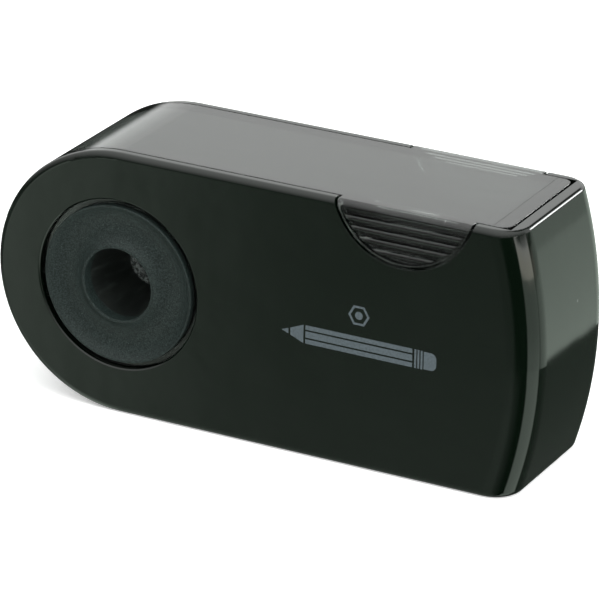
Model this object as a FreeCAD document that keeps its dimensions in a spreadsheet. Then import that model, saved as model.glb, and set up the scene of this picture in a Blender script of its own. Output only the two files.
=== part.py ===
"""A small pencil sharpener: a shavings container that swings up out of an open-topped outer shell.

Every piece is drawn about the pivot axis, which is also the axis of the pencil hole. There x points to the
square end, y to the back and z up, and y = 0 is the middle of the depth. Each sub-part's own placement then
sets it on the floor, centred on the whole object.
"""
import FreeCAD, Part
import os

import Sketcher
from FreeCAD import Placement, Rotation, Vector

DIMENSIONS = (
    ("body_height", 30, "outer shell, floor to rim"),
    ("body_depth", 18.8, "outer shell, front face to back face"),
    ("end_reach", 49.3, "pivot axis to the curved outer end face"),
    ("side_wall", 1.3, "outer shell, front and back walls"),
    ("floor_wall", 1.4, "outer shell, floor"),
    ("end_wall", 1.3, "outer shell, curved end wall"),
    ("rim_round", 0.75, "rounding of the shell's front and back outlines"),
    ("end_round", 3.2, "rounding of the upright edges at the square end"),
    ("end_top_round", 0.5, "rounding along the top of the end wall"),
    ("end_foot_round", 0.9, "rounding along the foot of the end wall"),
    ("swing_gap", 0.3, "clearance of the container where it sweeps past the shell"),
    ("side_gap", 0.15, "clearance between container and shell, front and back"),
    ("container_wall", 1.2, "wall of the shavings container"),
    ("container_end_wall", 1.7, "thickness of the container's curved end wall"),
    ("container_end_round", 1.2, "rounding of that wall's upright outer edges"),
    ("nose_drop", 3.7, "how far the container's round nose reaches below the pivot axis"),
    ("tongue_rise", 0.7, "top of the shell's inner tongue below the pivot axis"),
    ("tongue_root", 2.5, "length of the step that joins the tongue to the floor"),
    ("lug_length", 2.6, "end wall's lugs, measured into the container"),
    ("lug_width", 0.9, "end wall's lugs, thickness"),
    ("lug_inset", 1.0, "end wall's lugs, kept back from the container's top and open side"),
    ("tab_from_end", 15.4, "middle of the finger tab to the outer end face"),
    ("tab_rise", 2.1, "centre of the tab's arc above the rim"),
    ("tab_radius", 8.35, "arc of the shell's cut-out for the tab"),
    ("tab_clear", 0.22, "clearance left round the tab while it swings past the rim"),
    ("tab_border", 0.15, "flush border of the tab"),
    ("tab_band", 0.75, "plain band between the rim and the tab's hollow"),
    ("tab_hollow", 0.75, "depth of the tab's hollow"),
    ("ridge_pitch", 1.06, "spacing of the grip ridges"),
    ("ridge_radius", 0.33, "half width of one ridge"),
    ("ridge_sink", 0.12, "ridge crests below the face of the tab"),
    ("ridge_inset", 0.3, "ends of the ridges short of the tab's edge"),
    ("boss_wall", 0.63, "wall of the container's front boss round the disc"),
    ("opening_edge", 0.15, "chamfer of the front opening"),
    ("pivot_fit", 0.07, "running clearance at both pivots, on the radius"),
    ("boss_recess", 0.8, "container's front boss below the front face"),
    ("disc_radius", 9, "entry disc"),
    ("disc_rim", 0.22, "width of the disc's sharp outer rim"),
    ("disc_lip", 0.25, "width of the lip round the pencil hole"),
    ("channel_depth", 0.95, "round channel in the disc's face"),
    ("pencil_radius", 4.1, "pencil hole"),
    ("lip_edge", 0.12, "chamfer of the pencil hole"),
    ("cone_tip", 0.73, "radius of the sharpening cone at the block's back end"),
    ("flange_ledge", 0.8, "step from the disc's radius to the block's flange"),
    ("block_ledge", 0.8, "step from the flange's radius to the block"),
    ("flange_fit", 0.02, "clearance round pressed-in pieces"),
    ("block_end_gap", 0.1, "sharpener block short of the container's back wall"),
    ("tip_radius", 1.1, "relief hole for the pencil's point"),
    ("blade_turn", 50, "blade seat's turn from straight up, in degrees"),
    ("blade_bite", 0.3, "how far the blade reaches into the cone"),
    ("blade_start", 0.4, "blade seat behind the container's front wall"),
    ("blade_end", 1.1, "blade seat short of the block's back end"),
    ("blade_wide", 7.6, "blade, cutting edge to back"),
    ("blade_thick", 0.55, "blade"),
    ("blade_bevel", 0.5, "ground bevel of the cutting edge"),
    ("window_wide", 3, "shavings window beside the cutting edge"),
    ("window_deep", 0.8, "shavings window below the blade seat"),
    ("screw_run", 4.3, "cutting edge to the screw"),
    ("screw_radius", 1, "blade screw's shank"),
    ("screw_long", 4.4, "blade screw's shank below the seat"),
    ("screw_fit", 0.05, "clearance round the shank in the block"),
    ("screw_end_gap", 0.2, "bore past the screw's end"),
    ("blade_hole_fit", 0.1, "clearance round the shank in the blade"),
    ("head_radius", 1.9, "blade screw's head"),
    ("head_height", 0.85, "blade screw's head"),
    ("slot_wide", 0.45, "blade screw's slot"),
    ("slot_deep", 0.4, "blade screw's slot"),
    ("stud_radius", 6, "back pivot stud's head"),
    ("stud_shoulder", 1.5, "step from the stud's head to its spigot"),
    ("stud_skin", 0.6, "stud's face in front of the relief hole"),
    ("stud_edge", 0.25, "chamfer round the stud's face"),
    ("overrun", 1, "how far a cutting shape runs past the surface it cuts"),
)
RIDGES = 4
SLACK = 0.01

doc = FreeCAD.newDocument("pencil_sharpener")
sheet = doc.addObject("Spreadsheet::Sheet", "dims")
for row, (alias, value, meaning) in enumerate(DIMENSIONS, start=1):
    sheet.set(f"A{row}", meaning)
    sheet.set(f"B{row}", str(value))
    sheet.setAlias(f"B{row}", alias)
doc.recompute()

# Places shared by several pieces, all measured from the pivot axis and the middle of the depth.
FAR = "(2 * dims.end_reach)"
TOP = "(dims.body_height / 2)"
BACK = "(dims.body_depth / 2)"
FRONT = "(-dims.body_depth / 2)"
FLOOR_TOP = f"(dims.floor_wall - {TOP})"
SWEEP_LOW = f"({FLOOR_TOP} + dims.swing_gap)"
SHELL_INSIDE_BACK = f"({BACK} - dims.side_wall)"
SHELL_INSIDE_END = "(dims.end_reach - dims.end_wall)"
CASE_BACK = f"({SHELL_INSIDE_BACK} - dims.side_gap)"
CASE_INSIDE_BACK = f"({CASE_BACK} - dims.container_wall)"
CASE_END = f"({SHELL_INSIDE_END} - dims.swing_gap)"
CASE_INSIDE_END = f"({CASE_END} - dims.container_end_wall)"
CASE_INSIDE_TOP = f"({TOP} - dims.container_wall)"
TONGUE_OUTSIDE = f"({CASE_INSIDE_TOP} - dims.swing_gap)"
TONGUE_INSIDE = f"({TONGUE_OUTSIDE} - dims.container_wall)"
TAB_LEVEL = f"({TOP} + dims.tab_rise)"
TAB_RUN = "(dims.end_reach - dims.tab_from_end)"
# The tab swings towards the nose as it rises, most where its edge lies midway between the rim and the
# place where it would move straight along the cut-out. The gap holds that drift besides the clearance.
TAB_DRIFT_AT = f"((asin(dims.tab_rise / dims.tab_radius) + atan({TAB_LEVEL} / {TAB_RUN})) / 2)"
TAB_DRIFT = (f"((dims.tab_radius * sin({TAB_DRIFT_AT}) - dims.tab_rise)"
             f" * ({TAB_LEVEL} * cos({TAB_DRIFT_AT}) - {TAB_RUN} * sin({TAB_DRIFT_AT}))"
             f" / ({TAB_RUN} - dims.tab_radius * cos({TAB_DRIFT_AT})))")
TAB = f"(dims.tab_radius - dims.tab_clear - {TAB_DRIFT})"
BOSS = "(dims.disc_radius + dims.boss_wall)"
OPENING = f"({BOSS} + dims.pivot_fit)"
FLANGE = "(dims.disc_radius - dims.flange_ledge)"
BLOCK = f"({FLANGE} - dims.block_ledge)"
SPIGOT = "(dims.stud_radius - dims.stud_shoulder)"
CONE_START = f"(-{CASE_BACK})"
CONE_END = f"({CASE_INSIDE_BACK} - dims.block_end_gap)"
CONE_SLOPE = f"((dims.pencil_radius - dims.cone_tip) / ({CONE_END} - {CONE_START}))"
SEAT_START = f"(dims.blade_start - {CASE_INSIDE_BACK})"
BLADE_LONG = f"(({CONE_END} - dims.blade_end - {SEAT_START}) / cos(atan({CONE_SLOPE})))"
SEAT_HEIGHT = f"(dims.pencil_radius - dims.blade_bite - ({SEAT_START} - {CONE_START}) * {CONE_SLOPE})"
PIVOT_X = f"(({TOP} - dims.end_reach) / 2)"

ALONG_Y = Rotation(Vector(1, 0, 0), -90)
ALONG_X = Rotation(Vector(0, 1, 0), 90)


def measure(expression):
    """The present value of an expression on the sheet."""
    value = sheet.evalExpression(expression)
    return float(getattr(value, "Value", value))


def bind(item, **expressions):
    """Tie an object's properties to the sheet."""
    for name, expression in expressions.items():
        item.setExpression(name, expression)
    return item


def move(item, x="0", y="0", z="0"):
    """Tie an object's place to the sheet."""
    for axis, expression in zip("xyz", (x, y, z)):
        item.setExpression(f".Placement.Base.{axis}", expression)
    return item


def box(name, left, right, front, back, low, high):
    block = doc.addObject("Part::Box", name)
    bind(block, Length=f"{right} - ({left})", Width=f"{back} - ({front})", Height=f"{high} - ({low})")
    return move(block, left, front, low)


def cylinder(name, radius, front, back, x="0", z="0"):
    """A round bar parallel to the pivot axis."""
    bar = doc.addObject("Part::Cylinder", name)
    bar.Placement = Placement(Vector(), ALONG_Y)
    bind(bar, Radius=radius, Height=f"{back} - ({front})")
    return move(bar, x, front, z)


def cut(name, base, tool):
    result = doc.addObject("Part::Cut", name)
    result.Base = base
    result.Tool = tool
    result.Refine = True
    return result


def fuse(name, *pieces):
    result = doc.addObject("Part::MultiFuse", name)
    result.Shapes = list(pieces)
    result.Refine = True
    return result


def common(name, *pieces):
    result = doc.addObject("Part::MultiCommon", name)
    result.Shapes = list(pieces)
    result.Refine = True
    return result


def fillet(name, base, chosen, radius_at):
    """Round the chosen edges of a base, with the radius that radius_at gives at each end of an edge."""
    doc.recompute()
    result = doc.addObject("Part::Fillet", name)
    result.Base = base
    result.Edges = [
        (number, radius_at(edge.firstVertex(True).Point), radius_at(edge.lastVertex(True).Point))
        for number, edge in enumerate(base.Shape.Edges, start=1) if chosen(edge)]
    return result


def origin_plane(body, role):
    return next(feature for feature in body.Origin.OriginFeatures if feature.Role == role)


def polygon(body, name, role, corners):
    """A closed sketch of straight sides. Each corner is a pair of expressions on the sheet."""
    sketch = body.newObject("Sketcher::SketchObject", name)
    sketch.AttachmentSupport = (origin_plane(body, role), [""])
    sketch.MapMode = "FlatFace"
    places = [Vector(measure(u), measure(v), 0) for u, v in corners]
    for index, place in enumerate(places):
        sketch.addGeometry(Part.LineSegment(place, places[(index + 1) % len(places)]), False)
    for index, (u, v) in enumerate(corners):
        sketch.addConstraint(Sketcher.Constraint("Coincident", (index or len(corners)) - 1, 2, index, 1))
        for kind, expression in (("DistanceX", u), ("DistanceY", v)):
            constraint = sketch.addConstraint(
                Sketcher.Constraint(kind, -1, 1, index, 1, measure(expression)))
            sketch.setExpression(f"Constraints[{constraint}]", expression)
    return sketch


def turned(name, corners):
    """A body turned about the pivot axis. Corners are (radius, place along the axis)."""
    body = doc.addObject("PartDesign::Body", f"{name}_body")
    profile = polygon(body, f"{name}_profile", "XY_Plane", corners)
    revolution = body.newObject("PartDesign::Revolution", f"{name}_turning")
    revolution.Profile = profile
    revolution.ReferenceAxis = (profile, ["V_Axis"])
    revolution.Angle = 360
    return body


def lies_at(edge, x=None, y=None, z=None):
    """True where the whole edge keeps the given x, y or z."""
    bounds = edge.BoundBox
    for place, low, high in ((x, bounds.XMin, bounds.XMax), (y, bounds.YMin, bounds.YMax),
                             (z, bounds.ZMin, bounds.ZMax)):
        if place is not None and (abs(low - place) > SLACK or abs(high - place) > SLACK):
            return False
    return True


def is_arc(edge, radius):
    return isinstance(edge.Curve, Part.Circle) and abs(edge.Curve.Radius - radius) < SLACK


def constant(expression):
    return lambda point: measure(expression)


def shell_blank():
    """The shell's outside: round nose, flat rim and floor, and an end face concentric with the pivot."""
    end_reach = measure("dims.end_reach")
    end_round = measure("dims.end_round")
    top = measure(TOP)
    back = measure(BACK)
    reach = fillet("shell_reach_rounded", cylinder("shell_reach", "dims.end_reach", FRONT, BACK),
                   lambda edge: is_arc(edge, end_reach), constant("dims.end_round"))
    slab = box("shell_slab", "0", "dims.end_reach", FRONT, BACK, f"-{TOP}", TOP)
    nose = cylinder("shell_nose", TOP, FRONT, BACK)
    blank = common("shell_blank", fuse("shell_side_view", slab, nose), reach)

    def on_outline(edge):
        """The rim, the floor's outline and the nose's two outlines, but no upright of the end."""
        bounds = edge.BoundBox
        level = lies_at(edge, z=top) or lies_at(edge, z=-top)
        nose_face = bounds.XMax < SLACK and (lies_at(edge, y=back) or lies_at(edge, y=-back))
        crosses_nose = lies_at(edge, x=0)
        return (level and not crosses_nose) or nose_face

    def outline_round(point):
        """The rim's rounding, which changes to the end wall's across the corners."""
        if abs(point.y) > back - end_round + SLACK:
            return measure("dims.rim_round")
        return measure("dims.end_top_round" if point.z > 0 else "dims.end_foot_round")

    return fillet("shell_rounded", blank, on_outline, outline_round)


def tab_disc(name, radius, front, back):
    return cylinder(name, radius, front, back, TAB_RUN, TAB_LEVEL)


def outer_shell():
    """Front, back, floor and curved end in one moulding, open at the top and round the nose."""
    inside = (f"-{SHELL_INSIDE_BACK}", SHELL_INSIDE_BACK)
    pocket = common(
        "pocket",
        box("pocket_slab", "0", FAR, *inside, FLOOR_TOP, FAR),
        cylinder("pocket_reach", SHELL_INSIDE_END, *inside))
    nose_gap = box("nose_gap", f"-{FAR}", "0", *inside, f"-{FAR}", FAR)
    cut_outs = tab_disc("tab_cut_outs", "dims.tab_radius", f"{FRONT} - dims.overrun",
                        f"{BACK} + dims.overrun")
    chamfer = doc.addObject("Part::Cone", "front_opening_edge")
    chamfer.Placement = Placement(Vector(), ALONG_Y)
    bind(chamfer, Radius1=f"{OPENING} + dims.opening_edge", Radius2=OPENING, Height="dims.opening_edge")
    openings = fuse(
        "pivot_openings",
        cylinder("front_opening", OPENING, f"{FRONT} - dims.overrun", "0"),
        move(chamfer, y=FRONT),
        cylinder("back_opening", "dims.stud_radius + dims.pivot_fit", "0", f"{BACK} + dims.overrun"))
    walls = cut("shell_walls", shell_blank(), fuse("shell_removed", pocket, nose_gap, cut_outs, openings))
    case_inside = (f"dims.side_gap - {CASE_INSIDE_BACK}", f"{CASE_INSIDE_BACK} - dims.side_gap")
    ring = cut(
        "tongue_ring",
        cylinder("tongue_outside", TONGUE_OUTSIDE, *case_inside),
        cylinder("tongue_inside", TONGUE_INSIDE, FRONT, BACK))
    sector = box("tongue_sector", f"-{TONGUE_OUTSIDE}", "0", *case_inside,
                 f"-{TONGUE_OUTSIDE}", "-dims.tongue_rise")
    tongue = common("tongue", ring, sector)
    root = box("tongue_root", "0", "dims.tongue_root", *case_inside, FLOOR_TOP, f"-{TONGUE_INSIDE}")
    return fuse("outer_shell", walls, tongue, root)


def finger_tab(side):
    """A tab flush with the shell's face, hollowed for a fingertip and ridged. side is front or back."""
    name = f"{side}_tab"
    hollow_top = f"({TOP} - dims.tab_band)"
    if side == "front":
        spans = {
            "tab": (FRONT, f"-{CASE_INSIDE_BACK}"),
            "hollow": (f"{FRONT} - dims.overrun", f"{FRONT} + dims.tab_hollow"),
        }
        ridge_y = f"{FRONT} + dims.ridge_sink + dims.ridge_radius"
        foot = (ridge_y, f"{FRONT} + dims.tab_hollow")
        face = -1
    else:
        spans = {
            "tab": (CASE_INSIDE_BACK, BACK),
            "hollow": (f"{BACK} - dims.tab_hollow", f"{BACK} + dims.overrun"),
        }
        ridge_y = f"{BACK} - dims.ridge_sink - dims.ridge_radius"
        foot = (f"{BACK} - dims.tab_hollow", ridge_y)
        face = 1
    full = common(
        f"{name}_blank",
        tab_disc(f"{name}_disc", TAB, *spans["tab"]),
        box(f"{name}_below_rim", "0", FAR, *spans["tab"], "0", TOP))
    face_y = face * measure(BACK)
    rounded = fillet(f"{name}_rounded", full, lambda edge: lies_at(edge, y=face_y, z=measure(TOP)),
                     constant("dims.rim_round"))
    hollow = common(
        f"{name}_hollow",
        tab_disc(f"{name}_hollow_disc", f"{TAB} - dims.tab_border", *spans["hollow"]),
        box(f"{name}_hollow_below_band", "0", FAR, *spans["hollow"], "0", hollow_top))
    bars = []
    for index in range(RIDGES):
        level = f"({hollow_top} - {index + 1} * dims.ridge_pitch)"
        bar = doc.addObject("Part::Cylinder", f"{name}_ridge_{index + 1}")
        bar.Placement = Placement(Vector(), ALONG_X)
        bind(bar, Radius="dims.ridge_radius", Height="2 * dims.tab_radius")
        bars.append(move(bar, f"{TAB_RUN} - dims.tab_radius", ridge_y, level))
        bars.append(box(f"{name}_ridge_foot_{index + 1}",
                        f"{TAB_RUN} - dims.tab_radius", f"{TAB_RUN} + dims.tab_radius", *foot,
                        f"{level} - dims.ridge_radius", f"{level} + dims.ridge_radius"))
    ridges = common(
        f"{name}_ridges",
        fuse(f"{name}_bars", *bars),
        tab_disc(f"{name}_ridge_ends", f"{TAB} - dims.ridge_inset", *spans["tab"]))
    return fuse(name, cut(f"{name}_hollowed", rounded, hollow), ridges)


def shavings_container():
    """Top, two sides and the round nose in one clear moulding, open below and at the square end."""
    outside = (f"-{CASE_BACK}", CASE_BACK)
    inside = (f"-{CASE_INSIDE_BACK}", CASE_INSIDE_BACK)
    slab = box("case_slab", "0", "dims.end_reach", *outside, SWEEP_LOW, TOP)
    hub = cylinder("case_hub", f"-{SWEEP_LOW}", *outside)
    nose = common(
        "case_nose",
        cylinder("case_nose_round", TOP, *outside),
        box("case_nose_height", f"-{FAR}", "0", *outside, "-dims.nose_drop", FAR))
    blank = common(
        "case_blank",
        fuse("case_side_view", slab, hub, nose),
        cylinder("case_reach", CASE_INSIDE_END, *outside))
    hollow = fuse(
        "case_hollow",
        box("case_hollow_slab", "0", FAR, *inside, f"-{FAR}", CASE_INSIDE_TOP),
        cylinder("case_hollow_nose", CASE_INSIDE_TOP, *inside))
    boss = cylinder("case_boss", BOSS, f"{FRONT} + dims.boss_recess", f"-{CASE_INSIDE_BACK}")
    walls = fuse("case_walls", cut("case_hollowed", blank, hollow), boss,
                 finger_tab("front"), finger_tab("back"))
    seats = fuse(
        "case_seats",
        cylinder("disc_seat", "dims.disc_radius + dims.flange_fit",
                 f"{FRONT} - dims.overrun", f"-{CASE_BACK}"),
        cylinder("flange_seat", f"{FLANGE} + dims.flange_fit", FRONT, "0"),
        cylinder("spigot_seat", f"{SPIGOT} + dims.flange_fit", "0", BACK))
    return cut("shavings_container", walls, seats)


def container_end_wall():
    """The container's curved end, closed with a wall of its own that lugs into the two sides."""
    outside = (f"-{CASE_BACK}", CASE_BACK)
    start = "dims.end_reach / 2"
    ring = cut(
        "end_ring",
        cylinder("end_outside", CASE_END, *outside),
        cylinder("end_inside", CASE_INSIDE_END, FRONT, BACK))
    plate = common("end_plate", ring, box("end_height", start, FAR, *outside, SWEEP_LOW, TOP))
    end = measure(CASE_END)
    rounded = fillet("end_rounded", plate, lambda edge: is_arc(edge, end),
                     constant("dims.container_end_round"))
    lug_ring = cut(
        "lug_ring",
        cylinder("lug_outside", CASE_INSIDE_END, f"-{CASE_INSIDE_BACK}", CASE_INSIDE_BACK),
        cylinder("lug_inside", f"{CASE_INSIDE_END} - dims.lug_length", FRONT, BACK))
    lug_inside = f"({CASE_INSIDE_BACK} - dims.lug_width)"
    heights = (f"{SWEEP_LOW} + dims.lug_inset", f"{CASE_INSIDE_TOP} - dims.lug_inset")
    sides = fuse(
        "lug_sides",
        box("front_lug", start, FAR, f"-{CASE_INSIDE_BACK}", f"-{lug_inside}", *heights),
        box("back_lug", start, FAR, lug_inside, CASE_INSIDE_BACK, *heights))
    return fuse("container_end_wall", rounded, common("lugs", lug_ring, sides))


def entry_disc():
    """The round face of the sharpener, with a round channel that leads the pencil to its hole."""
    body = turned("disc_blank", (
        ("dims.pencil_radius", f"-{CASE_BACK}"),
        ("dims.disc_radius", f"-{CASE_BACK}"),
        ("dims.disc_radius", FRONT),
        ("dims.pencil_radius + dims.lip_edge", FRONT),
        ("dims.pencil_radius", f"{FRONT} + dims.lip_edge"),
    ))
    outer = "(dims.disc_radius - dims.disc_rim)"
    inner = "(dims.pencil_radius + dims.lip_edge + dims.disc_lip)"
    half_width = f"(({outer} - {inner}) / 2)"
    tube = f"(({half_width} ^ 2 + dims.channel_depth ^ 2) / (2 * dims.channel_depth))"
    channel = doc.addObject("Part::Torus", "disc_channel")
    channel.Placement = Placement(Vector(), ALONG_Y)
    bind(channel, Radius1=f"({outer} + {inner}) / 2", Radius2=tube)
    move(channel, y=f"{FRONT} + dims.channel_depth - {tube}")
    return cut("entry_disc", body, channel)


def sharpener_block():
    """A round block with the sharpening cone, a sloping seat for the blade and a window beside it."""
    inner_front = f"-{CASE_INSIDE_BACK}"
    body = turned("block_blank", (
        ("dims.pencil_radius", CONE_START),
        (FLANGE, CONE_START),
        (FLANGE, inner_front),
        (BLOCK, inner_front),
        (BLOCK, CONE_END),
        ("dims.cone_tip", CONE_END),
    ))
    seat = sloped(box("blade_seat", "0", f"2 * {BLOCK}", "0", FAR, "0", f"2 * {BLOCK}"), f"-{BLOCK}")
    window = sloped(box("shavings_window", "0", "dims.window_wide", "0", BLADE_LONG,
                        "0", "dims.window_deep + dims.overrun"),
                    "-dims.window_wide", "-dims.window_deep")
    bore = doc.addObject("Part::Cylinder", "screw_bore")
    bore_depth = "(dims.screw_long + dims.screw_end_gap)"
    bind(bore, Radius="dims.screw_radius + dims.screw_fit", Height=f"{bore_depth} + dims.overrun")
    sloped(bore, "dims.screw_run", f"-{bore_depth}", f"{BLADE_LONG} / 2")
    return cut("sharpener_block", body, fuse("block_removed", seat, window, bore))


def sloped(item, x="0", rise="0", along="0"):
    """Set a piece on the blade seat, which slopes with the cone. The cutting edge is at x = 0."""
    slope = f"atan({CONE_SLOPE})"
    y = f"{SEAT_START} + ({along}) * cos({slope}) + ({rise}) * sin({slope})"
    z = f"{SEAT_HEIGHT} - ({along}) * sin({slope}) + ({rise}) * cos({slope})"
    item.setExpression("Placement", f"placement(vector({x}; {y}; {z}); rotationx(-{slope}))")
    return item


def sharpener_blade():
    """A flat blade with a screw hole, ground along the edge that meets the cone."""
    body = doc.addObject("PartDesign::Body", "blade_body")
    profile = polygon(body, "blade_outline", "XY_Plane", (
        ("0", "0"), ("dims.blade_wide", "0"), ("dims.blade_wide", BLADE_LONG), ("0", BLADE_LONG)))
    middle = f"{BLADE_LONG} / 2"
    bore = "dims.screw_radius + dims.blade_hole_fit"
    hole = profile.addGeometry(Part.Circle(
        Vector(measure("dims.screw_run"), measure(middle), 0), Vector(0, 0, 1), measure(bore)), False)
    for kind, expression in (("DistanceX", "dims.screw_run"), ("DistanceY", middle)):
        constraint = profile.addConstraint(
            Sketcher.Constraint(kind, -1, 1, hole, 3, measure(expression)))
        profile.setExpression(f"Constraints[{constraint}]", expression)
    constraint = profile.addConstraint(Sketcher.Constraint("Radius", hole, measure(bore)))
    profile.setExpression(f"Constraints[{constraint}]", bore)
    pad = body.newObject("PartDesign::Pad", "blade_plate")
    pad.Profile = profile
    bind(pad, Length="dims.blade_thick")
    doc.recompute()
    thick = measure("dims.blade_thick")
    edges = [f"Edge{number}" for number, edge in enumerate(pad.Shape.Edges, start=1)
             if lies_at(edge, x=0, z=thick)]
    bevel = body.newObject("PartDesign::Chamfer", "blade_ground_edge")
    bevel.Base = (pad, edges)
    bind(bevel, Size="dims.blade_bevel")
    return sloped(body)


def blade_screw():
    """A slotted screw that holds the blade down on its seat."""
    body = doc.addObject("PartDesign::Body", "screw_body")
    profile = polygon(body, "screw_profile", "XZ_Plane", (
        ("0", "-dims.screw_long"),
        ("dims.screw_radius", "-dims.screw_long"),
        ("dims.screw_radius", "dims.blade_thick"),
        ("dims.head_radius", "dims.blade_thick"),
        ("dims.head_radius", "dims.blade_thick + dims.head_height"),
        ("0", "dims.blade_thick + dims.head_height"),
    ))
    turning = body.newObject("PartDesign::Revolution", "screw_turning")
    turning.Profile = profile
    turning.ReferenceAxis = (profile, ["V_Axis"])
    turning.Angle = 360
    head_top = "(dims.blade_thick + dims.head_height)"
    slot = box("screw_slot", "-dims.head_radius", "dims.head_radius",
               "-dims.slot_wide / 2", "dims.slot_wide / 2",
               f"{head_top} - dims.slot_deep", f"{head_top} + dims.overrun")
    return sloped(cut("blade_screw", body, slot), "dims.screw_run", along=f"{BLADE_LONG} / 2")


def rear_pivot_stud():
    """The back pivot: a round head that turns in the shell, pressed into the container's back wall."""
    return turned("stud", (
        ("0", f"{BACK} - dims.stud_skin"),
        ("dims.tip_radius", f"{BACK} - dims.stud_skin"),
        ("dims.tip_radius", CASE_INSIDE_BACK),
        (SPIGOT, CASE_INSIDE_BACK),
        (SPIGOT, CASE_BACK),
        ("dims.stud_radius", CASE_BACK),
        ("dims.stud_radius", f"{BACK} - dims.stud_edge"),
        ("dims.stud_radius - dims.stud_edge", BACK),
        ("0", BACK),
    ))


def set_in_place(item, name, turn_with_blade=False):
    """Name a finished sub-part and move it from the pivot axis to its place on the floor."""
    item.Label = name
    turn = "dims.blade_turn" if turn_with_blade else "0"
    seat = f"placement(vector({PIVOT_X}; 0; {TOP}); rotationy({turn} * 1deg))"
    own = dict(item.ExpressionEngine).get("Placement")
    item.setExpression("Placement", f"{seat} * {own}" if own else seat)
    return item


PARTS = [
    set_in_place(outer_shell(), "outer_shell"),
    set_in_place(shavings_container(), "shavings_container"),
    set_in_place(container_end_wall(), "container_end_wall"),
    set_in_place(entry_disc(), "entry_disc"),
    set_in_place(sharpener_block(), "sharpener_block", turn_with_blade=True),
    set_in_place(sharpener_blade(), "sharpener_blade", turn_with_blade=True),
    set_in_place(blade_screw(), "blade_screw", turn_with_blade=True),
    set_in_place(rear_pivot_stud(), "rear_pivot_stud"),
]
doc.recompute()

for item in doc.Objects:
    if {"Invalid", "Error"} & set(item.State):
        raise RuntimeError(f"{item.Label} did not build: {item.State}")
for item in PARTS:
    if item.Shape.isNull() or not item.Shape.isValid() or len(item.Shape.Solids) != 1:
        raise RuntimeError(f"{item.Label} is not one sound solid")

os.makedirs("parts", exist_ok=True)
for item in PARTS:
    item.Shape.exportStep(f"parts/{item.Label}.step")
    bounds = item.Shape.BoundBox
    print(f"{item.Label}: volume {item.Shape.Volume:.1f}, x {bounds.XMin:.2f} to {bounds.XMax:.2f}, "
          f"y {bounds.YMin:.2f} to {bounds.YMax:.2f}, z {bounds.ZMin:.2f} to {bounds.ZMax:.2f}")
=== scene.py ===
"""Looks of a small pencil sharpener whose shavings container swings up out of its shell.

The moulded and metal pieces keep their own shapes and get finishes here. The entry disc is turned again
with rounded edges, and the print on the shell's front is added.
"""

import math

import bmesh
import bpy
from mathutils import Matrix, Vector


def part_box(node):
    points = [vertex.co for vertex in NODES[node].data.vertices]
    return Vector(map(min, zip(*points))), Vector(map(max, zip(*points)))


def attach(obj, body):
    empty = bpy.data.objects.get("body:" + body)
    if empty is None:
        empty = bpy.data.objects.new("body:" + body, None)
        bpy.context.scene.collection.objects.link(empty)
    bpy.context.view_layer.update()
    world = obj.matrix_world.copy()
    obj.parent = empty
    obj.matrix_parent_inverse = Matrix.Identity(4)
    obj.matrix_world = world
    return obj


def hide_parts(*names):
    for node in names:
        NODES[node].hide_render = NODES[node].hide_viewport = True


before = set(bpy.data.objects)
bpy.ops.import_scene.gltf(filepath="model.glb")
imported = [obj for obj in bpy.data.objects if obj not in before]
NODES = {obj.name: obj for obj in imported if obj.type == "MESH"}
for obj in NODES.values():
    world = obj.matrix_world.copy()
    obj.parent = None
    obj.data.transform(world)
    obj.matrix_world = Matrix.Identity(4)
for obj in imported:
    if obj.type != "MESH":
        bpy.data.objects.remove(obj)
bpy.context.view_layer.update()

bl_info = {
    "name": "Container Sharpener",
    "version": (1, 0, 0),
    "blender": (4, 5, 0),
    "location": "View3D > Sidebar > Sharpener",
    "description": "Finishes, entry disc, print and studio for a pencil sharpener with a swing container",
    "category": "Object",
}

MM = 0.001
MERGE_DISTANCE = 0.0001 * MM
SHELL_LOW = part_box("outer_shell")[0]
DISC_LOW, DISC_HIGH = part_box("entry_disc")
PIVOT = (DISC_LOW + DISC_HIGH) / 2
DISC_RADIUS = (DISC_HIGH.x - DISC_LOW.x) / 2


# --- Shader maths ---------------------------------------------------------------------------------------

# The colour sockets of a Mix node, which has sockets of the same name for numbers and vectors.
MIX_FACTOR, MIX_FIRST, MIX_SECOND, MIX_RESULT = 0, 6, 7, 2


class Socket:
    """An output socket that numbers, other sockets and the usual signs can be worked out with."""

    def __init__(self, shader, output):
        self.shader = shader
        self.output = output

    def math(self, operation, *values):
        return self.shader.node("ShaderNodeMath", {"operation": operation}, (self, *values))

    def __add__(self, other):
        return self.math("ADD", other)

    __radd__ = __add__

    def __sub__(self, other):
        return self.math("SUBTRACT", other)

    def __rsub__(self, other):
        return self.shader.node("ShaderNodeMath", {"operation": "SUBTRACT"}, (other, self))

    def __mul__(self, other):
        return self.math("MULTIPLY", other)

    __rmul__ = __mul__

    def __truediv__(self, other):
        return self.math("DIVIDE", other)

    def smooth(self, low, high):
        """0 below low, 1 above high, and an even ramp between them."""
        return self.shader.node("ShaderNodeMapRange", {"interpolation_type": "SMOOTHSTEP"},
                                {"Value": self, "From Min": low, "From Max": high})

    def fade(self, low, high):
        """1 below low, 0 above high, and an even ramp between them."""
        return 1 - self.smooth(low, high)

    def part(self, name):
        """Another output of the same node."""
        return Socket(self.shader, self.output.node.outputs[name])


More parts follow.
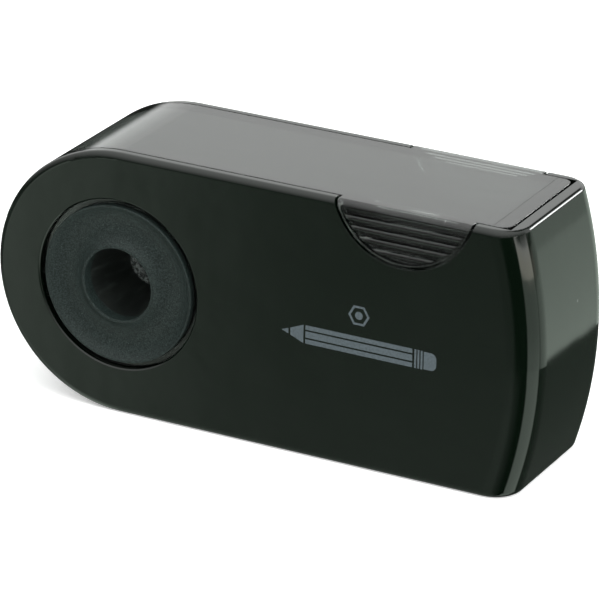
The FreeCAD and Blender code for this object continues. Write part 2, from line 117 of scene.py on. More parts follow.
class Shader:
    """The node tree of one material or of the world."""

    def __init__(self, owner):
        owner.use_nodes = True
        self.tree = owner.node_tree
        self.tree.nodes.clear()

    def node(self, kind, settings=None, values=()):
        """Add a node. Settings come first, then values or links for its sockets, by order or by name."""
        made = self.tree.nodes.new(kind)
        for name, value in (settings or {}).items():
            setattr(made, name, value)
        named = values.items() if isinstance(values, dict) else enumerate(values)
        for name, value in named:
            if isinstance(value, Socket):
                self.tree.links.new(value.output, made.inputs[name])
            else:
                made.inputs[name].default_value = value
        outputs = [output for output in made.outputs if output.enabled]
        return Socket(self, outputs[0]) if outputs else None

    def place(self, scale=(1, 1, 1), centre=(0, 0, 0), turn=(0, 0, 0)):
        """Places on the object in millimetres, measured from a centre and stretched by a scale."""
        at = self.node("ShaderNodeTexCoord").part("Object")
        centred = self.node("ShaderNodeVectorMath", {"operation": "SUBTRACT"}, (at, tuple(centre)))
        return self.node("ShaderNodeMapping", None, {
            "Vector": centred, "Rotation": turn, "Scale": tuple(value / MM for value in scale)})

    def noise(self, at, scale, detail=3.0, roughness=0.5):
        """Cloudy noise from 0 to 1. Scale is its waves to the millimetre."""
        return self.node("ShaderNodeTexNoise", None, {
            "Vector": at, "Scale": scale, "Detail": detail, "Roughness": roughness})

    def mix(self, factor, first, second):
        """Two colours mixed by a factor."""
        made = self.node("ShaderNodeMix", {"data_type": "RGBA"}, {
            MIX_FACTOR: factor, MIX_FIRST: first, MIX_SECOND: second})
        return Socket(self, made.output.node.outputs[MIX_RESULT])

    def bump(self, height, strength, distance, normal=None):
        """The surface direction over a height. Distance is in metres."""
        values = {"Height": height, "Strength": strength, "Distance": distance}
        if normal is not None:
            values["Normal"] = normal
        return self.node("ShaderNodeBump", None, values)

    def principled(self, values):
        """The material's surface, from values or links for the shader's sockets."""
        surface = self.node("ShaderNodeBsdfPrincipled", None, values)
        self.node("ShaderNodeOutputMaterial", None, {"Surface": surface})


def tint(color, factor=1.0):
    """A four-part colour from a property's three parts."""
    return (color[0] * factor, color[1] * factor, color[2] * factor, 1.0)


def new_material(name):
    material = bpy.data.materials.new(name)
    return material, Shader(material)


def dress(piece, material):
    """Give a piece its finish."""
    piece.data.materials.clear()
    piece.data.materials.append(material)


def dust(shader, at, spacing, amount):
    """1 on sparse fine specks, 0 elsewhere. Spacing is in millimetres, amount the share of cells."""
    cells = shader.node("ShaderNodeTexVoronoi", None, {"Vector": at, "Scale": 1 / spacing})
    near = cells.fade(0.05, 0.14)
    chosen = cells.part("Color").smooth(1 - amount, 1 - amount + 0.01)
    return near * chosen


def scratches(shader, at, spacing, amount):
    """Faint hair scratches that come and go along the piece."""
    drift = shader.noise(at, 0.08, detail=1.0)
    lines = shader.noise(at, 1 / spacing, detail=2.0, roughness=0.6)
    return lines.smooth(1 - amount, 1.0) * drift.smooth(0.45, 0.7)


def rounded_edge(shader, radius):
    """The surface direction with sharp edges eased over a radius."""
    return shader.node("ShaderNodeBevel", {"samples": 4}, {"Radius": radius})


# --- Finishes -------------------------------------------------------------------------------------------

class FinishSizes(bpy.types.PropertyGroup):
    """Colours and finish of the sharpener's materials."""
    shell_color: bpy.props.FloatVectorProperty(
        name="Shell", description="Colour of the black shell", subtype="COLOR",
        default=(0.0012, 0.0032, 0.0016))
    shell_roughness: bpy.props.FloatProperty(
        name="Shell roughness", description="Roughness of the polished shell", default=0.07, min=0, max=1)
    smoke_color: bpy.props.FloatVectorProperty(
        name="Smoke", description="Tint of the clear container", subtype="COLOR",
        default=(0.10, 0.112, 0.105))
    smoke_roughness: bpy.props.FloatProperty(
        name="Smoke roughness", description="Roughness of the container", default=0.05, min=0, max=1)
    smoke_clear: bpy.props.FloatProperty(
        name="Clearness", description="Share of light that passes the container", default=0.975, min=0, max=1)
    disc_color: bpy.props.FloatVectorProperty(
        name="Disc", description="Colour of the matte entry disc and the back stud", subtype="COLOR",
        default=(0.0145, 0.0215, 0.0200))
    block_color: bpy.props.FloatVectorProperty(
        name="Block", description="Colour of the sharpener block", subtype="COLOR",
        default=(0.010, 0.012, 0.011))
    # The graphite patch in the cone is drawn light grey, as graphite and as a painted glint deep in the
    # pencil hole.
    graphite_glint_color: bpy.props.FloatVectorProperty(
        name="Graphite", description="Colour of the graphite in the cone", subtype="COLOR",
        default=(0.64, 0.70, 0.68))
    steel_color: bpy.props.FloatVectorProperty(
        name="Steel", description="Colour of blade and screw", subtype="COLOR", default=(0.56, 0.56, 0.55))
    graphite_glint_start: bpy.props.FloatProperty(
        name="Graphite from", description="Start of the graphite in the cone, in millimetres behind the disc",
        default=6.7)
    graphite_glint_end: bpy.props.FloatProperty(
        name="Graphite to", description="End of the graphite in the cone, in millimetres behind the disc",
        default=15.2)
    graphite_glint_radius: bpy.props.FloatProperty(
        name="Graphite radius", description="Reach of the graphite round the pencil's axis, in millimetres",
        default=3.0)
    print_color: bpy.props.FloatVectorProperty(
        name="Print", description="Colour of the printed mark", subtype="COLOR",
        default=(0.075, 0.098, 0.112))


# Refraction of the black and of the clear plastic, and specks of dust on each.
PLASTIC_IOR, CLEAR_PLASTIC_IOR = 1.5, 1.57
DUST_COLOR, LINT_COLOR = (0.05, 0.055, 0.052, 1), (0.9, 0.9, 0.9, 1)


def polished_black(sizes):
    """Polished black moulding: a slow waviness, hair scratches and specks of dust."""
    material, shader = new_material("polished_black")
    at = shader.place()
    waves = shader.noise(at, 0.16, detail=2.0)
    along = shader.place(scale=(0.5, 6.0, 6.0), turn=(0, 0.05, 0))
    hairs = scratches(shader, along, spacing=0.9, amount=0.30)
    specks = dust(shader, at, spacing=1.6, amount=0.12)
    smudge = shader.noise(at, 0.09, roughness=0.6).smooth(0.45, 0.75)
    color = shader.mix(specks, tint(sizes.shell_color), DUST_COLOR)
    normal = shader.bump(waves, 0.05, 0.4 * MM, rounded_edge(shader, 0.08 * MM))
    shader.principled({
        "Base Color": color,
        "Roughness": hairs * 0.12 + smudge * 0.04 + sizes.shell_roughness,
        "IOR": PLASTIC_IOR,
        "Normal": normal,
    })
    return material


def smoky_clear(sizes):
    """Clear plastic with smoke in it, and a moulding's faint flow lines."""
    material, shader = new_material("smoky_clear")
    at = shader.place()
    flow = shader.noise(shader.place(scale=(0.05, 0.6, 0.6)), 0.9, detail=2.0)
    specks = dust(shader, at, spacing=1.8, amount=0.10)
    smudge = shader.noise(at, 0.12, roughness=0.6).smooth(0.40, 0.75)
    deep = tint(sizes.smoke_color, 0.92)
    color = shader.mix(flow.smooth(0.35, 0.65), deep, tint(sizes.smoke_color))
    shader.principled({
        "Base Color": shader.mix(specks, color, LINT_COLOR),
        "Roughness": smudge * 0.05 + specks * 0.3 + sizes.smoke_roughness,
        "IOR": CLEAR_PLASTIC_IOR,
        "Transmission Weight": sizes.smoke_clear,
        "Normal": shader.bump(flow, 0.02, 0.3 * MM, rounded_edge(shader, 0.12 * MM)),
    })
    return material


def grained_grey(sizes):
    """Matte grey moulding with the fine grain of a spark-eroded mould."""
    material, shader = new_material("grained_grey")
    at = shader.place()
    grain = shader.noise(at, 7.0, detail=4.0, roughness=0.7)
    cells = shader.node("ShaderNodeTexVoronoi", {"feature": "SMOOTH_F1"}, {
        "Vector": at, "Scale": 6.0, "Smoothness": 0.6})
    specks = dust(shader, at, spacing=0.28, amount=0.55)
    deep, raised = tint(sizes.disc_color, 0.6), tint(sizes.disc_color, 1.55)
    color = shader.mix(grain.smooth(0.42, 0.60), deep, raised)
    normal = shader.bump(grain * 0.6 + cells * 0.6, 0.5, 0.06 * MM)
    shader.principled({
        "Base Color": shader.mix(specks, color, tint(sizes.disc_color, 6)),
        "Roughness": grain * 0.16 + 0.36,
        "Specular IOR Level": 0.22,
        "Normal": normal,
    })
    return material


def cutter_black(sizes):
    """Satin black moulding of the sharpener block. Deep in the cone, where the pencil's point turns, a light
    grey patch stands for graphite and for a painted glint.
    """
    material, shader = new_material("cutter_black")
    at = shader.place()
    grain = shader.noise(at, 3.0, roughness=0.6)
    streaks = shader.noise(shader.place(scale=(1, 0.2, 1)), 1.1).smooth(0.5, 0.7)
    away = shader.node("ShaderNodeSeparateXYZ", None, (shader.place(centre=PIVOT),))
    x, y, z = away.part("X"), away.part("Y"), away.part("Z")
    from_axis = (x * x + z * z).math("POWER", 0.5)
    edge, end_edge = 0.3, 0.2
    in_cone = (from_axis.fade(sizes.graphite_glint_radius, sizes.graphite_glint_radius + edge)
               * y.smooth(sizes.graphite_glint_start, sizes.graphite_glint_start + edge)
               * y.fade(sizes.graphite_glint_end, sizes.graphite_glint_end + end_edge))
    # Graphite in the cone, lightened into a painted glint seen deep in the pencil hole.
    graphite_and_glint = in_cone * (grain.smooth(0.42, 0.62) * 0.85 + 0.15)
    body = shader.mix(streaks, tint(sizes.block_color), tint(sizes.block_color, 2.6))
    color = shader.mix(graphite_and_glint, body, tint(sizes.graphite_glint_color))
    shader.principled({
        "Base Color": color,
        "Roughness": grain * 0.12 + 0.30,
        "IOR": PLASTIC_IOR,
        "Normal": shader.bump(grain, 0.25, 0.05 * MM, rounded_edge(shader, 0.10 * MM)),
    })
    return material


# How the blade lies in the block, in radians about each axis.
BLADE_TURN = (0.2, 0.87, 0)


def ground_steel(sizes):
    """Blade steel with fine grinding lines across the blade."""
    material, shader = new_material("ground_steel")
    across = shader.place(scale=(0.25, 9.0, 0.25), turn=BLADE_TURN)
    lines = shader.noise(across, 2.0, detail=4.0, roughness=0.7)
    stain = shader.noise(shader.place(), 0.5, roughness=0.6)
    color = shader.mix(stain.smooth(0.4, 0.7), tint(sizes.steel_color), tint(sizes.steel_color, 0.72))
    shader.principled({
        "Base Color": color,
        "Metallic": 1.0,
        "Roughness": lines * 0.22 + 0.16,
        "Normal": shader.bump(lines, 0.25, 0.03 * MM, rounded_edge(shader, 0.04 * MM)),
    })
    return material


def turned_steel(sizes):
    """Screw steel with turning marks and a little tarnish."""
    material, shader = new_material("turned_steel")
    rings = shader.noise(shader.place(scale=(3.0, 0.4, 3.0)), 2.4, roughness=0.6)
    tarnish = shader.noise(shader.place(turn=BLADE_TURN), 1.2, roughness=0.6).smooth(0.4, 0.75)
    color = shader.mix(tarnish, tint(sizes.steel_color, 0.9), tint(sizes.steel_color, 0.55))
    shader.principled({
        "Base Color": color,
        "Metallic": 1.0,
        "Roughness": rings * 0.18 + tarnish * 0.12 + 0.18,
        "Normal": shader.bump(rings, 0.2, 0.03 * MM, rounded_edge(shader, 0.06 * MM)),
    })
    return material


def printing_ink(sizes):
    """Thin matte ink with the small pinholes of pad printing."""
    material, shader = new_material("printing_ink")
    cover = shader.noise(shader.place(), 5.0, roughness=0.7)
    color = shader.mix(cover.smooth(0.30, 0.62), tint(sizes.print_color, 0.55), tint(sizes.print_color))
    shader.principled({
        "Base Color": color,
        "Roughness": cover * 0.2 + 0.42,
        "IOR": PLASTIC_IOR,
        "Normal": shader.bump(cover, 0.2, 0.02 * MM),
    })
    return material


class SHARPENER_OT_finishes(bpy.types.Operator):
    """Give every moulded and metal piece its finish"""
    bl_idname = "sharpener.finishes"
    bl_label = "Finishes"

    def execute(self, context):
        sizes = context.scene.sharpener_finish
        smoke = smoky_clear(sizes)
        black = polished_black(sizes)
        dress(NODES["outer_shell"], black)
        dress(NODES["shavings_container"], smoke)
        dress(NODES["container_end_wall"], smoke)
        dress(NODES["sharpener_block"], cutter_black(sizes))
        dress(NODES["sharpener_blade"], ground_steel(sizes))
        dress(NODES["blade_screw"], turned_steel(sizes))
        dress(NODES["rear_pivot_stud"], grained_grey(sizes))
        return {"FINISHED"}


# --- Entry disc -----------------------------------------------------------------------------------------

class DiscSizes(bpy.types.PropertyGroup):
    """Sizes of the entry disc's face."""
    hole_radius: bpy.props.FloatProperty(
        name="Hole radius", description="Radius of the pencil hole", subtype="DISTANCE", default=4.1 * MM)
    rim_width: bpy.props.FloatProperty(
        name="Rim width", description="Flat rim round the face", subtype="DISTANCE", default=0.20 * MM)
    lip_width: bpy.props.FloatProperty(
        name="Lip width", description="Flat lip round the hole", subtype="DISTANCE", default=0.28 * MM)
    channel_depth: bpy.props.FloatProperty(
        name="Channel depth", description="Depth of the round channel", subtype="DISTANCE", default=0.95 * MM)
    edge_round: bpy.props.FloatProperty(
        name="Edge rounding", description="Rounding of rim and lip", subtype="DISTANCE", default=0.09 * MM)
    segments: bpy.props.IntProperty(
        name="Segments", description="Faces round the disc", default=192, min=24)
    channel_steps: bpy.props.IntProperty(
        name="Channel steps", description="Faces across the channel", default=24, min=4)


class SHARPENER_OT_disc(bpy.types.Operator):
    """Turn the entry disc: a flat rim, a round channel and a lip round the pencil hole"""
    bl_idname = "sharpener.disc"
    bl_label = "Entry disc"

    def execute(self, context):
        sizes = context.scene.sharpener_disc
        face = DISC_LOW.y
        rim = DISC_RADIUS - sizes.rim_width
        lip = sizes.hole_radius + sizes.lip_width
        half_width = (rim - lip) / 2
        tube = (half_width ** 2 + sizes.channel_depth ** 2) / (2 * sizes.channel_depth)
        tube_centre = Vector((PIVOT.x + (rim + lip) / 2, face + sizes.channel_depth - tube, PIVOT.z))

        shape = bmesh.new()

        def point(radius, y):
            return shape.verts.new((PIVOT.x + radius, y, PIVOT.z))

        outer = [point(DISC_RADIUS, DISC_HIGH.y), point(DISC_RADIUS, face), point(rim, face)]
        sweep = bmesh.ops.spin(
            shape, geom=[outer[-1]], cent=tube_centre, axis=(0, 0, 1),
            angle=2 * math.asin(half_width / tube), steps=sizes.channel_steps)
        channel_end = next(item for item in sweep["geom_last"] if isinstance(item, bmesh.types.BMVert))
        inner = [channel_end, point(sizes.hole_radius, face), point(sizes.hole_radius, DISC_HIGH.y)]
        for line in (outer, inner):
            for first, second in zip(line, line[1:]):
                shape.edges.new((first, second))
        shape.edges.new((inner[-1], outer[0]))
        corners = [*outer, *inner[:-1]]
        bmesh.ops.bevel(shape, geom=corners, offset=sizes.edge_round, affect="VERTICES", segments=4,
                        profile=0.5, material=-1, offset_type="OFFSET")
        bmesh.ops.spin(shape, geom=shape.verts[:] + shape.edges[:], cent=PIVOT, axis=(0, 1, 0),
                       angle=2 * math.pi, steps=sizes.segments, use_merge=True)
        bmesh.ops.remove_doubles(shape, verts=shape.verts, dist=MERGE_DISTANCE)
        bmesh.ops.recalc_face_normals(shape, faces=shape.faces)
        piece = finish_piece(shape, "turned_entry_disc", smooth_angle=math.radians(35))
        dress(piece, grained_grey(context.scene.sharpener_finish))
        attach(piece, "container")
        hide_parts("entry_disc")
        return {"FINISHED"}


def finish_piece(shape, name, smooth_angle=None):
    """Turn a bmesh into an object. With an angle it is shaded smooth, but for edges sharper than that."""
    mesh = bpy.data.meshes.new(name)
    if smooth_angle is not None:
        for face in shape.faces:
            face.smooth = True
        for edge in shape.edges:
            if edge.is_manifold and edge.calc_face_angle(0.0) > smooth_angle:
                edge.smooth = False
    shape.to_mesh(mesh)
    shape.free()
    piece = bpy.data.objects.new(name, mesh)
    bpy.context.scene.collection.objects.link(piece)
    return piece


# --- Print on the shell's front -------------------------------------------------------------------------

class PrintSizes(bpy.types.PropertyGroup):
    """Sizes of the plain printed mark."""
    start: bpy.props.FloatProperty(
        name="Start", description="Pivot axis to the mark's left end", subtype="DISTANCE", default=20.0 * MM)
    length: bpy.props.FloatProperty(
        name="Length", description="Length of the printed pencil", subtype="DISTANCE", default=18.2 * MM)
    level: bpy.props.FloatProperty(
        name="Level", description="Height of the printed pencil above the floor", subtype="DISTANCE",
        default=14.1 * MM)
    height: bpy.props.FloatProperty(
        name="Height", description="Width of the printed pencil", subtype="DISTANCE", default=2.1 * MM)
    badge_radius: bpy.props.FloatProperty(
        name="Badge radius", description="Pencil end drawn above the pencil", subtype="DISTANCE",
        default=1.25 * MM)
    gap: bpy.props.FloatProperty(
        name="Gap", description="Unprinted lines inside the mark", subtype="DISTANCE", default=0.24 * MM)
    ink: bpy.props.FloatProperty(
        name="Ink", description="How far the ink stands proud", subtype="DISTANCE", default=0.012 * MM)


# Along the printed pencil: the end of the lead and of the cone, and the start of the ferrule and the rubber.
PENCIL_PARTS = (0.045, 0.15, 0.86, 0.92)
# The stripes of its six-sided body, and other widths, as shares of half its width.
PENCIL_STRIPES = ((-1.0, -0.52), (-0.34, 0.34), (0.52, 1.0))
WOOD_STEP, CAP_WIDTH, CAP_ROUND = 1.25, 0.94, 0.6
# The ferrule's bands, and how much of each is printed.
FERRULE_BANDS, BAND_SHARE = 3, 0.62
# The badge's height above the pencil and its lead, as shares of its radius.
BADGE_RISE, BADGE_LEAD = 1.9, 0.36


class SHARPENER_OT_print(bpy.types.Operator):
    """Print a plain pencil, with the end view of a pencil above it, on the shell's front"""
    bl_idname = "sharpener.print"
    bl_label = "Front print"

    def execute(self, context):
        sizes = context.scene.sharpener_print
        shape = bmesh.new()
        left = PIVOT.x + sizes.start
        right = left + sizes.length
        lead, cone, ferrule, rubber = (left + share * sizes.length for share in PENCIL_PARTS)
        half = sizes.height / 2
        lead_half = half * (lead - left) / (cone - left)
        gap = sizes.gap

        def area(*corners):
            """One printed area, from its corners as (x, height above the mark's middle line)."""
            points = [shape.verts.new((x, 0, z)) for x, z in corners]
            return shape.faces.new(points)

        def bar(start, end, low, high):
            """One upright rectangle, from low to high as shares of half the pencil's width."""
            area((start, low * half), (start, high * half), (end, high * half), (end, low * half))

        area((left, 0), (lead, lead_half), (lead, -lead_half))
        wood_half = lead_half * WOOD_STEP
        wood_end = cone - gap / 2
        area((lead + gap, wood_half), (wood_end, half), (wood_end, -half), (lead + gap, -wood_half))
        for low, high in PENCIL_STRIPES:
            bar(cone + gap / 2, ferrule - gap, low, high)
        step = (rubber - ferrule) / FERRULE_BANDS
        for index in range(FERRULE_BANDS):
            band = ferrule + index * step
            bar(band, band + step * BAND_SHARE, -1, 1)
        cap_half = half * CAP_WIDTH
        cap = area((rubber, -cap_half), (rubber, cap_half), (right, cap_half), (right, -cap_half))
        corners = [vertex for vertex in cap.verts if vertex.co.x > right - gap]
        bmesh.ops.bevel(shape, geom=corners, offset=half * CAP_ROUND, affect="VERTICES", segments=6,
                        profile=0.5, material=-1)
        bmesh.ops.translate(shape, verts=shape.verts, vec=(0, 0, sizes.level))
        badge = Vector(((left + right) / 2, 0, sizes.level + half + BADGE_RISE * sizes.badge_radius))

        def rounded(radius, corners, turn=0.0):
            """A filled outline with so many corners, in the middle of the badge."""
            made = bmesh.ops.create_circle(
                shape, cap_ends=True, segments=corners, radius=radius,
                matrix=Matrix.Translation(badge)
                @ Matrix.Rotation(math.radians(90), 4, "X") @ Matrix.Rotation(turn, 4, "Z"))
            return list({face for vertex in made["verts"] for face in vertex.link_faces})

        ring = rounded(sizes.badge_radius, 6, math.radians(30))
        shape.normal_update()
        bmesh.ops.inset_region(shape, faces=ring, thickness=sizes.gap, use_boundary=True,
                               use_even_offset=True)
        bmesh.ops.delete(shape, geom=ring, context="FACES_ONLY")
        rounded(sizes.badge_radius * BADGE_LEAD, 24)
        bmesh.ops.recalc_face_normals(shape, faces=shape.faces)
        bmesh.ops.translate(shape, verts=shape.verts, vec=(0, SHELL_LOW.y, 0))
        raised = bmesh.ops.extrude_face_region(shape, geom=shape.faces[:])
        bmesh.ops.translate(
            shape, verts=[item for item in raised["geom"] if isinstance(item, bmesh.types.BMVert)],
            vec=(0, -sizes.ink, 0))
        bmesh.ops.recalc_face_normals(shape, faces=shape.faces)
        piece = finish_piece(shape, "front_print")
        piece.data.materials.append(printing_ink(context.scene.sharpener_finish))
        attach(piece, "shell")
        return {"FINISHED"}


# --- Studio ---------------------------------------------------------------------------------------------

class StudioSizes(bpy.types.PropertyGroup):
    """Camera, floor and light."""
    azimuth: bpy.props.FloatProperty(
        name="Azimuth", description="Camera's turn round the object", subtype="ANGLE",
        default=math.radians(27.514))
    elevation: bpy.props.FloatProperty(
        name="Elevation", description="Camera's height angle", subtype="ANGLE", default=math.radians(22.699))
    roll: bpy.props.FloatProperty(
        name="Roll", description="Camera's roll", subtype="ANGLE", default=math.radians(0.933))
    distance: bpy.props.FloatProperty(
        name="Distance", description="Camera to target", subtype="DISTANCE", default=475.4 * MM)
    lens: bpy.props.FloatProperty(
        name="Lens", description="Focal length in millimetres on a 36 mm sensor", default=271.75)
    target: bpy.props.FloatVectorProperty(
        name="Target", description="Where the camera looks", subtype="TRANSLATION",
        default=(4.99 * MM, -9.40 * MM, 17.864 * MM))
    floor_size: bpy.props.FloatProperty(
        name="Floor size", description="Side of the floor", subtype="DISTANCE", default=6.0)
    floor_color: bpy.props.FloatVectorProperty(
        name="Floor", description="Colour of the floor", subtype="COLOR", default=(0.97, 0.97, 0.97))
    key_power: bpy.props.FloatProperty(
        name="Key power", description="Power of the soft light above", subtype="POWER", default=2.0)
    side_power: bpy.props.FloatProperty(
        name="Side power", description="Power of the soft light at the square end", subtype="POWER",
        default=6.0)
    room_strength: bpy.props.FloatProperty(
        name="Room", description="Brightness of the white room behind", default=1.48)
    front_strength: bpy.props.FloatProperty(
        name="Front", description="Brightness of the dim room in front, straight up", default=1.75)
    window_strength: bpy.props.FloatProperty(
        name="Window", description="Brightness of the small window behind", default=16.0)
    table_strength: bpy.props.FloatProperty(
        name="Table", description="Brightness of the table behind", default=0.94)
    card_strength: bpy.props.FloatProperty(
        name="Card", description="Brightness of the card at the square end", default=0.95)


# The studio's lights as the gloss sees them. Each pair is where an edge starts and ends, in the parts of
# a direction of length 1: x to the square end, y to the back, z up. Side is x over the level part alone.
BEHIND_Y = (0.20, 0.45)
ROOM_LOW_Z = (-0.02, 0.12)
SHADE_LEFT_X, SHADE_RIGHT_X, SHADE_LOW_Z = (-0.22, -0.12), (0.24, 0.28), (0.44, 0.50)
TABLE_LEFT_X, TABLE_LOW_Z, TABLE_HIGH_Z = (-0.30, 0.05), (-0.395, -0.38), (-0.05, 0.0)
TABLE_FAR_Z = (-0.145, -0.13)
WINDOW_LEFT_X, WINDOW_RIGHT_X = (0.36, 0.40), (0.56, 0.60)
WINDOW_LOW_Z, WINDOW_HIGH_Z = (0.14, 0.18), (0.40, 0.44)
GLOW_HIGH_Z, GLOW_SIDE = (-0.15, 0.0), (0.05, 0.32)
NOSE_CARD_RIGHT_X, NOSE_CARD_LEFT_X = (0.42, 0.52), (0.58, 0.70)
FOOT_HIGH_Z, FOOT_SIDE = (-0.46, -0.35), (0.25, 0.70)
END_CARD_SIDE, END_CARD_Y, END_CARD_HIGH_Z = (0.83, 0.88), (0.25, 0.35), (0.0, 0.06)
END_CARD_BRIGHT_Z, END_CARD_FOOT_Z = (-0.12, -0.08), (-0.48, -0.25)
CREAM_Z, WHITE_Z = (-0.14, -0.08), (-0.06, 0.06)
# How bright the smaller lights are, what the shade and the table's far part take away, and the light that
# is left in the dark. The dim room's light starts a little below the level.
TABLE_FAR_LOSS, TABLE_FRONT, SHADE_DEPTH, DARK = 0.26, 0.09, 0.97, 0.015
GLOW, NOSE_CARD, FOOT = 0.20, 0.85, 0.20
END_CARD_BRIGHT, END_CARD_FOOT = 1.95, 0.55
DIM_ROOM_SINK = 0.05
GREEN_WHITE, CREAM_WHITE, ROOM_WHITE = (0.86, 1.0, 0.88, 1), (1.0, 0.99, 0.86, 1), (0.98, 1.0, 0.985, 1)


def studio_world(scene, sizes):
    """A soft studio: a white room behind, with a shade, a window and a table, and a dim room in front.

    Low in front lie a glow and a brighter foot. The nose and the square end each have a card before them,
    and the end's card is cream where it is bright.
    """
    scene.world = bpy.data.worlds.new("studio")
    shader = Shader(scene.world)
    direction = shader.node("ShaderNodeTexCoord").part("Generated")
    away = shader.node("ShaderNodeSeparateXYZ", None, (direction,))
    x, y, z = away.part("X"), away.part("Y"), away.part("Z")
    side = x / (x * x + y * y).math("POWER", 0.5)
    left = x * -1
    behind = y.smooth(*BEHIND_Y)
    before = 1 - behind
    room = behind * z.smooth(*ROOM_LOW_Z) * sizes.room_strength
    dim_room = before * (z + DIM_ROOM_SINK).math("MAXIMUM", 0.0) * sizes.front_strength
    shade = behind * z.smooth(*SHADE_LOW_Z) * x.smooth(*SHADE_LEFT_X) * x.fade(*SHADE_RIGHT_X)
    table_top = z.smooth(*TABLE_LOW_Z) * (sizes.table_strength - z.smooth(*TABLE_FAR_Z) * TABLE_FAR_LOSS)
    table = behind * x.smooth(*TABLE_LEFT_X) * z.fade(*TABLE_HIGH_Z) * (table_top + TABLE_FRONT)
    window = (behind * x.smooth(*WINDOW_LEFT_X) * x.fade(*WINDOW_RIGHT_X)
              * z.smooth(*WINDOW_LOW_Z) * z.fade(*WINDOW_HIGH_Z) * sizes.window_strength)
    glow = side.fade(*GLOW_SIDE) * GLOW
    nose_card = left.smooth(*NOSE_CARD_RIGHT_X) * left.fade(*NOSE_CARD_LEFT_X) * NOSE_CARD
    foot = z.fade(*FOOT_HIGH_Z) * side.fade(*FOOT_SIDE) * FOOT
    front = before * z.fade(*GLOW_HIGH_Z) * (glow + nose_card + foot)
    end_card = side.smooth(*END_CARD_SIDE) * y.fade(*END_CARD_Y) * z.fade(*END_CARD_HIGH_Z) * (
        z.smooth(*END_CARD_BRIGHT_Z) * END_CARD_BRIGHT + sizes.card_strength
        + z.fade(*END_CARD_FOOT_Z) * END_CARD_FOOT)
    light = (room + dim_room) * (1 - shade * SHADE_DEPTH) + table + window + front + end_card + DARK
    cream = side.smooth(*END_CARD_SIDE) * z.smooth(*CREAM_Z)
    low_color = shader.mix(cream, GREEN_WHITE, CREAM_WHITE)
    color = shader.mix(z.smooth(*WHITE_Z), low_color, ROOM_WHITE)
    background = shader.node("ShaderNodeBackground", None, {"Color": color, "Strength": light})
    shader.node("ShaderNodeOutputWorld", None, {"Surface": background})


def studio_floor(sizes):
    """A wide pale floor that glows a little, so that the shadow on it stays faint."""
    shape = bmesh.new()
    bmesh.ops.create_grid(shape, x_segments=1, y_segments=1, size=sizes.floor_size / 2)
    floor = finish_piece(shape, "studio_floor")
    material, shader = new_material("pale_floor")
    cloud = shader.noise(shader.place(scale=(0.02, 0.02, 0.02)), 1.0, detail=2.0)
    color = shader.mix(cloud, tint(sizes.floor_color, 0.98), tint(sizes.floor_color))
    shader.principled({
        "Base Color": color,
        "Roughness": 0.8,
        "Specular IOR Level": 0.2,
        "Emission Color": (1.0, 1.0, 1.0, 1),
        "Emission Strength": 0.3,
    })
    floor.data.materials.append(material)
    floor.visible_glossy = False


def soft_light(scene, name, power, size, at):
    """A round soft light at a place, aimed at the foot of the object. The gloss doesn't show it."""
    lamp = bpy.data.lights.new(name, "AREA")
    lamp.energy = power
    lamp.shape = "DISK"
    lamp.size = size
    light = bpy.data.objects.new(name, lamp)
    light.location = at
    light.rotation_mode = "QUATERNION"
    light.rotation_quaternion = (-Vector(at)).to_track_quat("-Z", "Y")
    light.visible_glossy = False
    scene.collection.objects.link(light)


def studio_camera(scene, sizes):
    """The camera, turned round the target by azimuth and elevation, and then rolled."""
    az, el = sizes.azimuth, sizes.elevation
    back = Vector((math.sin(az) * math.cos(el), -math.cos(az) * math.cos(el), math.sin(el)))
    lens = bpy.data.cameras.new("camera")
    lens.lens = sizes.lens
    lens.sensor_width = 36
    lens.clip_start = 0.01
    lens.clip_end = 20
    camera = bpy.data.objects.new("camera", lens)
    camera.rotation_mode = "QUATERNION"
    aimed = (-back).to_track_quat("-Z", "Y").to_matrix()
    camera.rotation_quaternion = (aimed @ Matrix.Rotation(sizes.roll, 3, "Z")).to_quaternion()
    camera.location = Vector(sizes.target) + back * sizes.distance
    scene.collection.objects.link(camera)
    scene.camera = camera


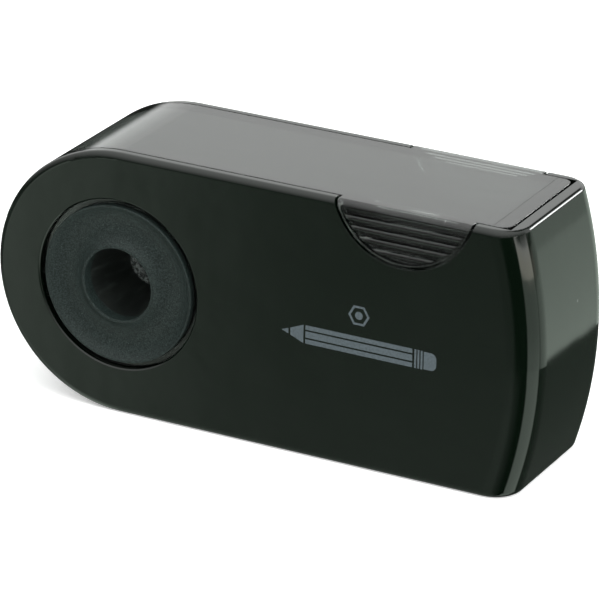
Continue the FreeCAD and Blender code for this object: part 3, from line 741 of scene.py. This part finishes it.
class SHARPENER_OT_studio(bpy.types.Operator):
    """Set up the floor, the soft lights and the camera"""
    bl_idname = "sharpener.studio"
    bl_label = "Studio"

    def execute(self, context):
        scene = context.scene
        sizes = scene.sharpener_studio
        scene.view_settings.view_transform = "Standard"
        studio_world(scene, sizes)
        studio_floor(sizes)
        soft_light(scene, "key_light", sizes.key_power, size=0.9, at=(0.20, -0.35, 0.90))
        soft_light(scene, "side_light", sizes.side_power, size=0.6, at=(0.95, -0.30, 0.60))
        studio_camera(scene, sizes)
        return {"FINISHED"}


# --- Panel and registration -----------------------------------------------------------------------------

class SHARPENER_PT_panel(bpy.types.Panel):
    """The sharpener's pieces and their sizes"""
    bl_idname = "SHARPENER_PT_panel"
    bl_label = "Sharpener"
    bl_space_type = "VIEW_3D"
    bl_region_type = "UI"
    bl_category = "Sharpener"

    def draw(self, context):
        for group, operators in GROUPS:
            box = self.layout.box()
            for operator in operators:
                box.operator(operator.bl_idname)
            settings = getattr(context.scene, group)
            for name in settings.__annotations__:
                box.prop(settings, name)


PROPERTIES = {
    "sharpener_finish": FinishSizes,
    "sharpener_disc": DiscSizes,
    "sharpener_print": PrintSizes,
    "sharpener_studio": StudioSizes,
}
GROUPS = (
    ("sharpener_finish", (SHARPENER_OT_finishes,)),
    ("sharpener_disc", (SHARPENER_OT_disc,)),
    ("sharpener_print", (SHARPENER_OT_print,)),
    ("sharpener_studio", (SHARPENER_OT_studio,)),
)
CLASSES = (*PROPERTIES.values(), *(operator for _, group in GROUPS for operator in group), SHARPENER_PT_panel)


def register():
    for item in CLASSES:
        bpy.utils.register_class(item)
    for name, group in PROPERTIES.items():
        setattr(bpy.types.Scene, name, bpy.props.PointerProperty(type=group))


def unregister():
    for name in PROPERTIES:
        delattr(bpy.types.Scene, name)
    for item in reversed(CLASSES):
        bpy.utils.unregister_class(item)


def main():
    register()
    bpy.ops.sharpener.finishes()
    bpy.ops.sharpener.disc()
    bpy.ops.sharpener.print()
    bpy.ops.sharpener.studio()


if __name__ == "__main__":
    main()
